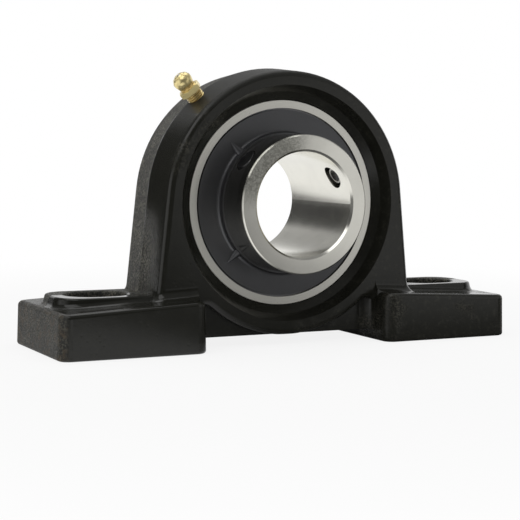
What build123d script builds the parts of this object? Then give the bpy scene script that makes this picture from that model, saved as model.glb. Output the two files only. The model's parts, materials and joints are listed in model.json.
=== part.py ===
from build123d import *
import os
from math import cos, radians, sin, sqrt, tan

os.makedirs("parts", exist_ok=True)

# Pillow block bearing for a 35 mm shaft.
# +X runs along the base, +Y towards the back, +Z up. The origin lies on the
# mounting plane, midway between the bolts, and the bearing axis is parallel to Y.
# Sizes are in millimetres and angles in degrees. An angle about the bearing axis
# is counted from +X towards +Z, as seen from the front.

# ---- Housing ----
SHAFT_HEIGHT = 47.6  # mounting plane to bearing axis
BASE_LENGTH = 167.0
BASE_WIDTH = 48.0
BOLT_SPACING = 127.0
SLOT_LENGTH = 21.0
SLOT_WIDTH = 17.0
SLOT_LIP_ROUNDING = 1.0
PAD_GAP = 66.6  # between the two foot pads
RELIEF_HEIGHT = 3.5  # clearance under the middle of the base
FOOT_ROOT_HEIGHT = 17.0
FOOT_TIP_HEIGHT = 14.5
FOOT_CORNER_RADIUS = 4.0
FOOT_EDGE_ROUNDING = 1.5
FOOT_BOTTOM_ROUNDING = 1.0
FOOT_DRAFT = 1.5
BOSS_HEIGHT = 18.2  # bolt seat above the mounting plane
BOSS_SIDE_LIP = 3.5
BOSS_END_LIP = 4.9
BOSS_CORNER_RADIUS = 8.0
BOSS_DRAFT = 15.0
BOSS_ROOT_RADIUS = 2.0
BOSS_EDGE_ROUNDING = 0.8
BOSS_START_IN_TOWER = 5.0  # its inner end is hidden inside the tower
DRUM_RADIUS = 45.4  # at the parting plane
DRUM_WIDTH = 30.0
DRUM_DRAFT = 5.0
DRUM_EDGE_ROUNDING = 2.0
SIDE_SLOPE = 6.0  # tower sides from the vertical
WAIST_WIDTH = 24.0  # web between the foot pads
WAIST_CORNER_RADIUS = 2.5  # where the round of the drum runs into a foot
TOWER_BELOW_FLOOR = 12.0  # drawn this far past the mounting plane, then cut off
TOWER_ROOT_RADIUS = 4.0
TOWER_ROOT_END = 2.2  # length over which the root fillet runs out
FACE_RECESS_RADIUS = 39.5
FACE_RECESS_DEPTH = 3.8
RECESS_FLOOR_RADIUS = 37.4
SEAT_HALF_WIDTH = 9.6
LOADING_SLOT_HEIGHT = 20.4
LOADING_SLOT_OVERCUT = 0.1
GREASE_GROOVE_Y = -3.2
GREASE_GROOVE_WIDTH = 5.6
GREASE_GROOVE_DEPTH = 1.0
GREASE_PASSAGE_RADIUS = 1.5
GREASE_PASSAGE_OVERLAP = 0.6

# ---- Insert bearing ----
SHAFT_DIAMETER = 35.0
INSERT_SPHERE_RADIUS = 36.0
OUTER_RING_WIDTH = 19.0
OUTER_SHOULDER_RADIUS = 30.0
OUTER_FACE_RADIUS = 31.9
OUTER_EDGE_CHAMFER = 0.4
SHIELD_GROOVE_RADIUS = 32.5
LUBE_HOLE_RADIUS = 0.9
LUBE_HOLE_Y = -5.5
LUBE_HOLE_ANGLES = (20.0, 140.0)
INNER_RING_RADIUS = 23.05
INNER_FRONT_LENGTH = 25.4  # ball plane to the set screw end
INNER_BACK_LENGTH = 17.5
BORE_CHAMFER = 0.7
INNER_EDGE_CHAMFER = 0.45
BALL_COUNT = 9
BALL_DIAMETER = 11.112
PITCH_RADIUS = 26.75
FIRST_BALL_ANGLE = 90.0
GROOVE_CONFORMITY = 0.52  # groove radius over ball diameter

# ---- Cage, shields and flingers ----
CAGE_SHEET = 0.7
CAGE_INNER_RADIUS = 24.7
CAGE_OUTER_RADIUS = 28.8
RIVET_RADIUS = 0.75
RIVET_HEAD_RADIUS = 1.35
RIVET_HEAD_HEIGHT = 0.6
SHIELD_SHEET = 0.6
SHIELD_INSIDE_Y = 7.6
SHIELD_HOLE_RADIUS = 25.2
SEAL_BODY_RADIUS = 26.4
SEAL_BODY_DEPTH = 0.6
SEAL_NECK_RADIUS = 24.2
SEAL_NECK_WIDTH = 0.4
SEAL_LIP_SETBACK = 0.2
SEAL_LIP_WIDTH = 0.3
FLINGER_SHEET = 0.6
FLINGER_RADIUS = 31.3
FLINGER_OUTSIDE_Y = 9.3
FLINGER_COLLAR_LENGTH = 2.3
FLINGER_BEND_RADIUS = 1.2
GUSSET_COUNT = 4
GUSSET_ANGLE = 134.0
GUSSET_RADIUS = 1.7  # of the half cone, at the collar
GUSSET_POINT_RADIUS = 0.2
GUSSET_REACH = 28.4

# ---- Set screws ----
SCREW_RADIUS = 4.0
SCREW_LENGTH = 5.0
SCREW_FROM_FACE = 8.5
SCREW_ANGLES = (30.5, 140.5)
SCREW_BACK_OFF = 0.7  # cup point to the shaft surface, before it is tightened
SCREW_HEX = 4.0
SCREW_HEX_DEPTH = 2.5
SCREW_EDGE_CHAMFER = 0.5
SCREW_POINT_LENGTH = 1.2
SCREW_POINT_RADIUS = 2.75
SCREW_CUP_RADIUS = 2.2
SCREW_CUP_DEPTH = 0.9

# ---- Grease nipple ----
NIPPLE_LEAN = 43.5  # from the vertical, towards the left
NIPPLE_OFFSET = 3.1  # its axis passes this far above the bearing axis
NIPPLE_Y = -1.7
NIPPLE_THREAD_RADIUS = 3.0
NIPPLE_THREAD_ENGAGED = 3.9
NIPPLE_THREAD_SHOWN = 2.1
NIPPLE_HOLE_DEPTH = 5.2
NIPPLE_HEX = 7.0
NIPPLE_HEX_HEIGHT = 2.2
NIPPLE_HEX_CHAMFER = 0.35
NIPPLE_THREAD_CHAMFER = 0.4
NIPPLE_NECK_RADIUS = 2.7
NIPPLE_NECK_LENGTH = 0.7
NIPPLE_FLANK_LENGTH = 1.9
NIPPLE_HEAD_RADIUS = 3.25
NIPPLE_RIM_LENGTH = 0.8
NIPPLE_TIP_LENGTH = 1.35
NIPPLE_TIP_RADIUS = 2.4
NIPPLE_NOSE_LENGTH = 0.55
NIPPLE_NOSE_ROOT_RADIUS = 1.9
NIPPLE_NOSE_RADIUS = 1.5
NIPPLE_BORE_RADIUS = 1.3
NIPPLE_ORIFICE_RADIUS = 0.85
NIPPLE_LIP = 0.2
NIPPLE_CRIMP_RADIUS = 0.75
NIPPLE_CRIMP_LENGTH = 0.5
CHECK_BALL_RADIUS = 1.1
SPRING_WIRE_RADIUS = 0.15
SPRING_MEAN_RADIUS = 0.95
SPRING_TURNS = 7

# ---- Running clearances ----
SEAT_CLEARANCE = 0.06
RACE_CLEARANCE = 0.05
POCKET_CLEARANCE = 0.15
SEAL_CLEARANCE = 0.08
SCREW_CLEARANCE = 0.05
CHECK_BALL_CLEARANCE = 0.03

# ---- Worked-out sizes ----
PAD_INNER_END = PAD_GAP / 2
BASE_END = BASE_LENGTH / 2
SLOT_CENTRE = BOLT_SPACING / 2
SEAT_RADIUS = INSERT_SPHERE_RADIUS + SEAT_CLEARANCE
SHAFT_RADIUS = SHAFT_DIAMETER / 2
BALL_RADIUS = BALL_DIAMETER / 2
GROOVE_RADIUS = GROOVE_CONFORMITY * BALL_DIAMETER
BALL_STEP = 360.0 / BALL_COUNT
OUTER_HALF_WIDTH = OUTER_RING_WIDTH / 2
DRUM_HALF_WIDTH = DRUM_WIDTH / 2
SIDES = {"front": -1, "rear": 1}
BIG = 2 * BASE_LENGTH  # reaches past anything it cuts
PAST = 1.0  # how far a cut runs past the face it opens


def placed(shape):
    """Moves a shape drawn about the origin to the bearing centre."""
    return Pos(0, 0, SHAFT_HEIGHT) * shape


def turned(*points):
    """Revolves a closed outline of (radius, y) points about the bearing axis."""
    return revolve(make_face(Polyline(*points, close=True)), Axis.Y)


def tube(inner, outer, y_low, y_high):
    return turned((inner, y_low), (outer, y_low), (outer, y_high), (inner, y_high))


def around(angle, shape):
    """Turns a shape from the +X side to an angle about the bearing axis."""
    return Rot(0, -angle, 0) * shape


def facing(side, shape):
    """Mirrors a shape drawn for the rear when it is wanted at the front."""
    return shape if side > 0 else mirror(shape, Plane.XZ)


def write(node, shape):
    export_step(shape, f"parts/{node}.step")


# ---- Housing casting ----


def foot_top(x):
    """Height of the sloping foot top at a distance from the middle."""
    share = (x - PAD_INNER_END) / (BASE_END - PAD_INNER_END)
    return FOOT_ROOT_HEIGHT + share * (FOOT_TIP_HEIGHT - FOOT_ROOT_HEIGHT)


def side_tangent():
    """Point where the sloping side of the tower leaves the round of the drum."""
    slope = radians(SIDE_SLOPE)
    return (DRUM_RADIUS * cos(slope), SHAFT_HEIGHT + DRUM_RADIUS * sin(slope))


def tower_half_length(z):
    x, tangent_z = side_tangent()
    return x + (tangent_z - z) * tan(radians(SIDE_SLOPE))


def drafted(face):
    """Pulls a front view both ways from the parting plane, with draft."""
    both_ways = {"amount": DRUM_HALF_WIDTH, "both": True, "taper": DRUM_DRAFT}
    return extrude(Plane.XZ * face, **both_ways)


def tower_view():
    """Front view of the drum and tower, open between the foot pads."""
    x, z = side_tangent()
    low = -TOWER_BELOW_FLOOR
    half = tower_half_length(low)
    crown = (0, SHAFT_HEIGHT + DRUM_RADIUS)
    flanks = make_face(
        [
            Line((-half, low), (half, low)),
            Line((half, low), (x, z)),
            ThreePointArc((x, z), crown, (-x, z)),
            Line((-x, z), (-half, low)),
        ]
    )
    opening = Rectangle(PAD_GAP, 2 * SHAFT_HEIGHT)
    view = flanks - opening + Pos(0, SHAFT_HEIGHT) * Circle(DRUM_RADIUS)
    inner = [v for v in view.vertices() if abs(abs(v.X) - PAD_INNER_END) < 0.01]
    return fillet(ShapeList(inner).group_by(Axis.Y)[-1], WAIST_CORNER_RADIUS)


def drum_and_tower():
    body = drafted(tower_view())
    rims = body.faces().filter_by(Axis.Y).edges()
    return fillet(rims, DRUM_EDGE_ROUNDING)


def right_of(x, shape):
    low_corner = (Align.MIN, Align.CENTER, Align.CENTER)
    return shape & Pos(x, 0, 0) * Box(BIG, BIG, BIG, align=low_corner)


def edges_on_foot_top(shape, x_low, x_high, y_limit):
    """Edges that lie in the foot's top plane, inside a window."""
    chosen = []
    for edge in shape.edges():
        points = [edge @ (k / 4) for k in range(5)]
        on_top = all(abs(p.Z - foot_top(p.X)) < 0.001 for p in points)
        middle = edge @ 0.5
        in_window = x_low < middle.X < x_high
        if on_top and in_window and all(abs(p.Y) < y_limit for p in points):
            chosen.append(edge)
    return chosen


def foot_side_view(x_low):
    return make_face(
        Polyline(
            (x_low, 0),
            (BASE_END, 0),
            (BASE_END, FOOT_TIP_HEIGHT),
            (x_low, foot_top(x_low)),
            close=True,
        )
    )


def base_plan():
    """Plan of one foot pad and its half of the web, with rounded corners."""
    length = BASE_END - PAD_INNER_END
    pad = Pos(PAD_INNER_END + length / 2, 0) * Rectangle(length, BASE_WIDTH)
    web = Pos(PAD_INNER_END / 2, 0) * Rectangle(PAD_INNER_END, WAIST_WIDTH)
    plan = pad + web
    corners = [corner for corner in plan.vertices() if corner.X > PAST]
    return fillet(corners, FOOT_CORNER_RADIUS)


def cut_to_height(plan):
    """Raises a plan with draft and cuts it along the sloping foot top."""
    block = extrude(plan, amount=2 * FOOT_ROOT_HEIGHT, taper=FOOT_DRAFT)
    low = plan.bounding_box().min.X
    return extrude(Plane.XZ * foot_side_view(low), amount=BASE_WIDTH, both=True) & block


def round_rim(foot):
    """Rounds the edges of the foot top, except the innermost."""
    top = foot.faces().sort_by(Axis.Z)[-1]
    inner_edge = top.edges().sort_by(Axis.X)[0]
    rim = [edge for edge in top.edges() if edge.center() != inner_edge.center()]
    return fillet(rim, FOOT_EDGE_ROUNDING)


def plain_foot():
    """Right foot with its half of the web, and every upper edge rounded."""
    return round_rim(cut_to_height(base_plan()))


def long_foot(x_low):
    """Right foot carried further inwards at its full width."""
    length = BASE_END - x_low
    plan = Pos(x_low + length / 2, 0) * Rectangle(length, BASE_WIDTH)
    plan = fillet(plan.vertices().group_by(Axis.X)[-1], FOOT_CORNER_RADIUS)
    return round_rim(cut_to_height(plan))


def tower_post(x_low):
    """Bottom of the tower, right of a distance from the middle."""
    low = FOOT_TIP_HEIGHT / 2
    high = SHAFT_HEIGHT - WAIST_WIDTH / 2
    post = drafted(
        make_face(
            Polyline(
                (-tower_half_length(low), low),
                (tower_half_length(low), low),
                (tower_half_length(high), high),
                (-tower_half_length(high), high),
                close=True,
            )
        )
    )
    faces = post.faces().filter_by(Axis.Y)
    upright = [edge for edge in faces.edges() if abs((edge % 0.5).Z) > 0.8]
    return right_of(x_low, fillet(upright, DRUM_EDGE_ROUNDING))


def foot_with_tower_root(foot):
    """Foot and the bottom of the tower, with the fillet that joins them.

    The fillet is made on a longer foot and then cut to the real plan, so that it
    runs out at the inner end, where the rounded edges of the plain foot return.
    """
    x_low = PAD_INNER_END - WAIST_WIDTH / 2
    joined = long_foot(x_low) + tower_post(x_low + PAST)
    limits = (x_low + PAST + 0.1, SLOT_CENTRE, DRUM_HALF_WIDTH + PAST)
    joined = fillet(edges_on_foot_top(joined, *limits), TOWER_ROOT_RADIUS)
    envelope = extrude(base_plan(), amount=SHAFT_HEIGHT, taper=FOOT_DRAFT)
    return joined & envelope & (foot + behind_inner_corners())


def behind_inner_corners():
    """Prism over the foot that leaves out its two inner corners."""
    root_start = DRUM_HALF_WIDTH + TOWER_ROOT_RADIUS
    root_end = PAD_INNER_END + TOWER_ROOT_END
    corner = PAD_INNER_END + FOOT_CORNER_RADIUS + PAST
    near = [
        (0, DRUM_HALF_WIDTH + PAST),
        (PAD_INNER_END, DRUM_HALF_WIDTH + PAST),
        (root_end, root_start),
        (corner, root_start),
        (corner, BIG),
        (BIG, BIG),
    ]
    far = [(x, -y) for x, y in reversed(near)]
    return extrude(make_face(Polyline(*near, *far, close=True)), amount=SHAFT_HEIGHT)


def boss_plan():
    """Plan of the raised bolt seat, square inwards and round at the outer corners."""
    inner = PAD_INNER_END - 2
    outer = SLOT_CENTRE + SLOT_LENGTH / 2 + BOSS_END_LIP
    width = SLOT_WIDTH + 2 * BOSS_SIDE_LIP
    plan = Pos((inner + outer) / 2, 0) * Rectangle(outer - inner, width)
    return fillet(plan.vertices().group_by(Axis.X)[-1], BOSS_CORNER_RADIUS)


def foot_with_boss(foot):
    depth = 2 * (BOSS_HEIGHT - FOOT_TIP_HEIGHT)
    inner = tower_half_length(BOSS_HEIGHT) - BOSS_START_IN_TOWER
    boss = Pos(0, 0, BOSS_HEIGHT) * extrude(boss_plan(), amount=-depth, taper=-BOSS_DRAFT)
    joined = foot + right_of(inner, boss)
    reach = SLOT_WIDTH / 2 + BOSS_SIDE_LIP + depth
    root = edges_on_foot_top(joined, inner + 0.1, BASE_END - PAST, reach)
    joined = fillet(root, BOSS_ROOT_RADIUS)
    top = joined.faces().sort_by(Axis.Z)[-1]
    rim = [edge for edge in top.edges() if (edge @ 0.5).X > inner + 0.1]
    return fillet(rim, BOSS_EDGE_ROUNDING)


def bolt_slot():
    slot = SlotOverall(SLOT_LENGTH, SLOT_WIDTH)
    return Pos(SLOT_CENTRE, 0, -PAST) * extrude(slot, amount=BOSS_HEIGHT + 2 * PAST)


def on_slot_lip(edge):
    near_slot = SLOT_LENGTH / 2 + 0.1
    for share in (0, 0.5, 1):
        point = edge @ share
        level = abs(point.Z - BOSS_HEIGHT) < 0.001
        if not level or abs(abs(point.X) - SLOT_CENTRE) > near_slot:
            return False
        if abs(point.Y) > SLOT_WIDTH / 2 + 0.1:
            return False
    return True


def standing_room():
    """Everything above the relief, and the two pads that stand on the floor."""
    length = BASE_END - PAD_INNER_END
    plan = Pos(PAD_INNER_END + length / 2, 0) * Rectangle(length, BASE_WIDTH)
    plan = fillet(plan.vertices(), FOOT_CORNER_RADIUS)
    pad = extrude(plan, amount=RELIEF_HEIGHT, taper=FOOT_DRAFT)
    pad = fillet(pad.edges().group_by(Axis.Z)[0], FOOT_BOTTOM_ROUNDING)
    floor = (Align.CENTER, Align.CENTER, Align.MIN)
    above = Pos(0, 0, RELIEF_HEIGHT) * Box(BIG, BIG, BIG, align=floor)
    return above + pad + mirror(pad, Plane.YZ)


def seat_bore():
    """Recessed face, mouth cone and spherical seat, cut from both sides."""
    half = SEAT_HALF_WIDTH
    mouth = sqrt(SEAT_RADIUS**2 - half**2)
    step = DRUM_HALF_WIDTH - FACE_RECESS_DEPTH
    past = DRUM_HALF_WIDTH + PAST
    rear = [(RECESS_FLOOR_RADIUS, step), (FACE_RECESS_RADIUS, DRUM_HALF_WIDTH)]
    rear += [(FACE_RECESS_RADIUS, past), (0, past)]
    lines = Polyline((mouth, half), *rear)
    front = mirror(lines, Plane.XZ)
    seat = ThreePointArc((mouth, -half), (SEAT_RADIUS, 0), (mouth, half))
    axis = Line((0, -past), (0, past))
    return placed(revolve(make_face([*lines.edges(), *front.edges(), seat, axis]), Axis.Y))


def loading_slots():
    """Two open slots at the back, through which the insert is turned into its seat."""
    rear = (Align.CENTER, Align.MIN, Align.CENTER)
    band = Box(BIG, DRUM_WIDTH, LOADING_SLOT_HEIGHT, align=rear)
    plug = Rot(-90, 0, 0) * Cylinder(
        SEAT_RADIUS + LOADING_SLOT_OVERCUT,
        DRUM_WIDTH,
        align=(Align.CENTER, Align.CENTER, Align.MIN),
    )
    return placed(band & plug)


def grease_groove():
    low = GREASE_GROOVE_Y - GREASE_GROOVE_WIDTH / 2
    high = GREASE_GROOVE_Y + GREASE_GROOVE_WIDTH / 2
    inside = SEAT_RADIUS - 3 * PAST
    return placed(tube(inside, SEAT_RADIUS + GREASE_GROOVE_DEPTH, low, high))


def nipple_frame():
    """Where the nipple's thread leaves the crown, with its axis along local Z."""
    lean = radians(NIPPLE_LEAN)
    reach = sqrt(DRUM_RADIUS**2 - NIPPLE_OFFSET**2)
    x = NIPPLE_OFFSET * cos(lean) - reach * sin(lean)
    z = NIPPLE_OFFSET * sin(lean) + reach * cos(lean)
    return placed(Pos(x, NIPPLE_Y, z)) * Rot(0, -NIPPLE_LEAN, 0)


def nipple_hole():
    upright = (Align.CENTER, Align.CENTER, Align.MIN)
    hole = Cylinder(NIPPLE_THREAD_RADIUS, NIPPLE_HOLE_DEPTH + 3 * PAST, align=upright)
    hole = Pos(0, 0, -NIPPLE_HOLE_DEPTH) * hole
    depth = DRUM_RADIUS - SEAT_RADIUS - GREASE_GROOVE_DEPTH + GREASE_PASSAGE_OVERLAP
    passage = Pos(0, 0, -depth) * Cylinder(GREASE_PASSAGE_RADIUS, depth, align=upright)
    return nipple_frame() * (hole + passage)


def housing():
    foot = plain_foot()
    right = foot_with_tower_root(foot) + foot_with_boss(foot)
    body = drum_and_tower() + right + mirror(right, Plane.YZ)
    body &= standing_room()
    body -= seat_bore()
    body -= loading_slots()
    body -= grease_groove()
    body -= nipple_hole()
    slot = bolt_slot()
    body -= slot + mirror(slot, Plane.YZ)
    lips = [edge for edge in body.edges() if on_slot_lip(edge)]
    return fillet(lips, SLOT_LIP_ROUNDING)


write("housing", housing())

# ---- Outer ring ----


def groove_reach(race_centre, shoulder):
    """Half width of a ball groove where it runs out at its shoulder."""
    return sqrt(GROOVE_RADIUS**2 - (shoulder - race_centre) ** 2)


def outer_ring():
    bottom = PITCH_RADIUS + BALL_RADIUS + RACE_CLEARANCE
    groove = groove_reach(bottom - GROOVE_RADIUS, OUTER_SHOULDER_RADIUS)
    shield_outside = SHIELD_INSIDE_Y + SHIELD_SHEET
    edge_y = OUTER_HALF_WIDTH - OUTER_EDGE_CHAMFER
    edge_radius = sqrt(INSERT_SPHERE_RADIUS**2 - edge_y**2)
    rear = Polyline(
        (OUTER_SHOULDER_RADIUS, groove),
        (OUTER_SHOULDER_RADIUS, SHIELD_INSIDE_Y),
        (SHIELD_GROOVE_RADIUS, SHIELD_INSIDE_Y),
        (SHIELD_GROOVE_RADIUS, shield_outside),
        (OUTER_FACE_RADIUS, shield_outside),
        (OUTER_FACE_RADIUS, OUTER_HALF_WIDTH),
        (edge_radius - OUTER_EDGE_CHAMFER, OUTER_HALF_WIDTH),
        (edge_radius, edge_y),
    )
    front = mirror(rear, Plane.XZ)
    race = ThreePointArc(
        (OUTER_SHOULDER_RADIUS, -groove), (bottom, 0), (OUTER_SHOULDER_RADIUS, groove)
    )
    sphere = ThreePointArc(
        (edge_radius, -edge_y), (INSERT_SPHERE_RADIUS, 0), (edge_radius, edge_y)
    )
    outline = [*rear.edges(), *front.edges(), race, sphere]
    ring = revolve(make_face(outline), Axis.Y)
    start = OUTER_SHOULDER_RADIUS - 2 * PAST
    length = INSERT_SPHERE_RADIUS + PAST - start
    upright = (Align.CENTER, Align.CENTER, Align.MIN)
    drill = Rot(0, 90, 0) * Cylinder(LUBE_HOLE_RADIUS, length, align=upright)
    drill = Pos(start, LUBE_HOLE_Y, 0) * drill
    for angle in LUBE_HOLE_ANGLES:
        ring -= around(angle, drill)
    return placed(ring)


write("outer_ring", outer_ring())

# ---- Inner ring ----


def screw_frame(angle):
    """Local Z points outwards along a set screw, from the bearing axis."""
    y = SCREW_FROM_FACE - INNER_FRONT_LENGTH
    return placed(Rot(0, -angle, 0)) * Pos(0, y, 0) * Rot(0, 90, 0)


def inner_ring():
    bottom = PITCH_RADIUS - BALL_RADIUS - RACE_CLEARANCE
    groove = groove_reach(bottom + GROOVE_RADIUS, INNER_RING_RADIUS)
    rear = INNER_BACK_LENGTH
    front = -INNER_FRONT_LENGTH
    race = ThreePointArc(
        (INNER_RING_RADIUS, -groove), (bottom, 0), (INNER_RING_RADIUS, groove)
    )
    rest = Polyline(
        (INNER_RING_RADIUS, groove),
        (INNER_RING_RADIUS, rear - INNER_EDGE_CHAMFER),
        (INNER_RING_RADIUS - INNER_EDGE_CHAMFER, rear),
        (SHAFT_RADIUS + BORE_CHAMFER, rear),
        (SHAFT_RADIUS, rear - BORE_CHAMFER),
        (SHAFT_RADIUS, front + BORE_CHAMFER),
        (SHAFT_RADIUS + BORE_CHAMFER, front),
        (INNER_RING_RADIUS - INNER_EDGE_CHAMFER, front),
        (INNER_RING_RADIUS, front + INNER_EDGE_CHAMFER),
        (INNER_RING_RADIUS, -groove),
    )
    ring = placed(revolve(make_face([race, *rest.edges()]), Axis.Y))
    upright = (Align.CENTER, Align.CENTER, Align.MIN)
    drill = Cylinder(SCREW_RADIUS + SCREW_CLEARANCE, INNER_RING_RADIUS, align=upright)
    for angle in SCREW_ANGLES:
        ring -= screw_frame(angle) * Pos(0, 0, SHAFT_RADIUS / 2) * drill
    return ring


write("inner_ring", inner_ring())

# ---- Balls and cage ----


def ball_angles(shift=0.0):
    return [FIRST_BALL_ANGLE + (i + shift) * BALL_STEP for i in range(BALL_COUNT)]


for number, angle in enumerate(ball_angles(), start=1):
    ball = around(angle, Pos(PITCH_RADIUS, 0, 0) * Sphere(BALL_RADIUS))
    write(f"ball_{number}", placed(ball))


def cage_half():
    """Rear half of the ribbon cage, with a dished pocket over each ball."""
    inside = BALL_RADIUS + POCKET_CLEARANCE
    outside = inside + CAGE_SHEET
    ring = tube(CAGE_INNER_RADIUS, CAGE_OUTER_RADIUS, 0, CAGE_SHEET)
    band = tube(CAGE_INNER_RADIUS, CAGE_OUTER_RADIUS, 0, outside + PAST)
    for angle in ball_angles():
        dish = around(angle, Pos(PITCH_RADIUS, 0, 0) * Sphere(outside))
        ring += dish & band
    for angle in ball_angles():
        ring -= around(angle, Pos(PITCH_RADIUS, 0, 0) * Sphere(inside))
    hole = Rot(90, 0, 0) * Cylinder(RIVET_RADIUS, 4 * CAGE_SHEET)
    for angle in ball_angles(shift=0.5):
        ring -= around(angle, Pos(PITCH_RADIUS, 0, 0) * hole)
    return ring


def rivet():
    """Rivet with a raised head on the outside of each sheet."""
    under = CAGE_SHEET
    top = under + RIVET_HEAD_HEIGHT
    return turned(
        (0, -top),
        (RIVET_HEAD_RADIUS * 0.5, -top),
        (RIVET_HEAD_RADIUS, -under - RIVET_HEAD_HEIGHT / 3),
        (RIVET_HEAD_RADIUS, -under),
        (RIVET_RADIUS, -under),
        (RIVET_RADIUS, under),
        (RIVET_HEAD_RADIUS, under),
        (RIVET_HEAD_RADIUS, under + RIVET_HEAD_HEIGHT / 3),
        (RIVET_HEAD_RADIUS * 0.5, top),
        (0, top),
    )


cage_rear = cage_half()
write("cage_rear", placed(cage_rear))
write("cage_front", placed(facing(SIDES["front"], cage_rear)))
rivets = [
    placed(around(angle, Pos(PITCH_RADIUS, 0, 0) * rivet()))
    for angle in ball_angles(shift=0.5)
]
write("cage_rivets", Compound(children=rivets))

# ---- Shields, seal lips and flingers ----


def shield():
    outside = SHIELD_INSIDE_Y + SHIELD_SHEET
    return tube(SHIELD_HOLE_RADIUS, SHIELD_GROOVE_RADIUS, SHIELD_INSIDE_Y, outside)


def seal_lip():
    """Rubber bonded round the shield's hole, with a lip just off the inner ring."""
    inside = SHIELD_INSIDE_Y - SEAL_BODY_DEPTH
    outside = SHIELD_INSIDE_Y + SHIELD_SHEET
    lip = INNER_RING_RADIUS + SEAL_CLEARANCE
    return turned(
        (SEAL_BODY_RADIUS, inside),
        (SEAL_BODY_RADIUS, SHIELD_INSIDE_Y),
        (SHIELD_HOLE_RADIUS, SHIELD_INSIDE_Y),
        (SHIELD_HOLE_RADIUS, outside),
        (SEAL_NECK_RADIUS + SEAL_NECK_WIDTH, outside),
        (lip, outside - SEAL_LIP_SETBACK),
        (lip, outside - SEAL_LIP_SETBACK - SEAL_LIP_WIDTH),
        (SEAL_NECK_RADIUS, inside),
    )


def flinger():
    """Pressed disc with a collar on the inner ring and raised gussets at its root."""
    outside = FLINGER_OUTSIDE_Y
    inside = outside - FLINGER_SHEET
    collar = INNER_RING_RADIUS + FLINGER_SHEET
    bend = FLINGER_BEND_RADIUS
    centre = (collar + bend, outside + bend)
    half = sqrt(0.5)
    end = outside + FLINGER_COLLAR_LENGTH
    back_bend = bend + FLINGER_SHEET
    rim = Polyline(
        (centre[0], inside),
        (FLINGER_RADIUS, inside),
        (FLINGER_RADIUS, outside),
        (centre[0], outside),
    )
    front_bend = ThreePointArc(
        (centre[0], outside),
        (centre[0] - bend * half, centre[1] - bend * half),
        (collar, centre[1]),
    )
    sleeve = Polyline(
        (collar, centre[1]),
        (collar, end),
        (INNER_RING_RADIUS, end),
        (INNER_RING_RADIUS, centre[1]),
    )
    rear_bend = ThreePointArc(
        (INNER_RING_RADIUS, centre[1]),
        (centre[0] - back_bend * half, centre[1] - back_bend * half),
        (centre[0], inside),
    )
    outline = [*rim.edges(), front_bend, *sleeve.edges(), rear_bend]
    disc = revolve(make_face(outline), Axis.Y)
    start = collar - FLINGER_SHEET / 2
    upright = (Align.CENTER, Align.CENTER, Align.MIN)
    size = (GUSSET_RADIUS, GUSSET_POINT_RADIUS, GUSSET_REACH - start)
    cone = Pos(start, outside, 0) * Rot(0, 90, 0) * Cone(*size, align=upright)
    rear = (Align.CENTER, Align.MIN, Align.CENTER)
    gusset = cone & Pos(0, outside - FLINGER_SHEET / 2, 0) * Box(BIG, BIG, BIG, align=rear)
    for number in range(GUSSET_COUNT):
        angle = GUSSET_ANGLE + number * 360.0 / GUSSET_COUNT
        disc += around(angle, gusset)
    return disc


for name, side in SIDES.items():
    write(f"shield_{name}", placed(facing(side, shield())))
    write(f"seal_lip_{name}", placed(facing(side, seal_lip())))
    write(f"flinger_{name}", placed(facing(side, flinger())))

# ---- Set screws ----


def set_screw():
    """Socket set screw with a cup point, drawn with its point downwards."""
    cup = SCREW_POINT_RADIUS - SCREW_CUP_RADIUS
    body = revolve(
        make_face(
            Polyline(
                (0, SCREW_CUP_DEPTH),
                (SCREW_CUP_RADIUS, 0),
                (SCREW_CUP_RADIUS + cup, 0),
                (SCREW_RADIUS, SCREW_POINT_LENGTH),
                (SCREW_RADIUS, SCREW_LENGTH - SCREW_EDGE_CHAMFER),
                (SCREW_RADIUS - SCREW_EDGE_CHAMFER, SCREW_LENGTH),
                (0, SCREW_LENGTH),
                close=True,
            )
        ),
        Axis.Y,
    )
    body = Rot(90, 0, 0) * body
    hexagon = RegularPolygon(SCREW_HEX / 2, 6, major_radius=False)
    socket = extrude(hexagon, amount=-SCREW_HEX_DEPTH)
    return body - Pos(0, 0, SCREW_LENGTH) * socket


for number, angle in enumerate(SCREW_ANGLES, start=1):
    seat = screw_frame(angle) * Pos(0, 0, SHAFT_RADIUS + SCREW_BACK_OFF)
    write(f"set_screw_{number}", seat * set_screw())

# ---- Grease nipple ----

HEX_BOTTOM = NIPPLE_THREAD_SHOWN
HEX_TOP = HEX_BOTTOM + NIPPLE_HEX_HEIGHT
NECK_TOP = HEX_TOP + NIPPLE_NECK_LENGTH
FLANK_TOP = NECK_TOP + NIPPLE_FLANK_LENGTH
RIM_TOP = FLANK_TOP + NIPPLE_RIM_LENGTH
TIP_TOP = RIM_TOP + NIPPLE_TIP_LENGTH
NIPPLE_TOP = TIP_TOP + NIPPLE_NOSE_LENGTH
NIPPLE_BOTTOM = -NIPPLE_THREAD_ENGAGED
CHECK_BALL_REACH = CHECK_BALL_RADIUS + CHECK_BALL_CLEARANCE
CHECK_BALL_DROP = sqrt(CHECK_BALL_REACH**2 - NIPPLE_ORIFICE_RADIUS**2)
CHECK_BALL_Z = NIPPLE_TOP - NIPPLE_LIP - CHECK_BALL_DROP


def upright_turned(*points):
    """Revolves a closed outline of (radius, z) points about Z."""
    return Rot(90, 0, 0) * turned(*points)


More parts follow.
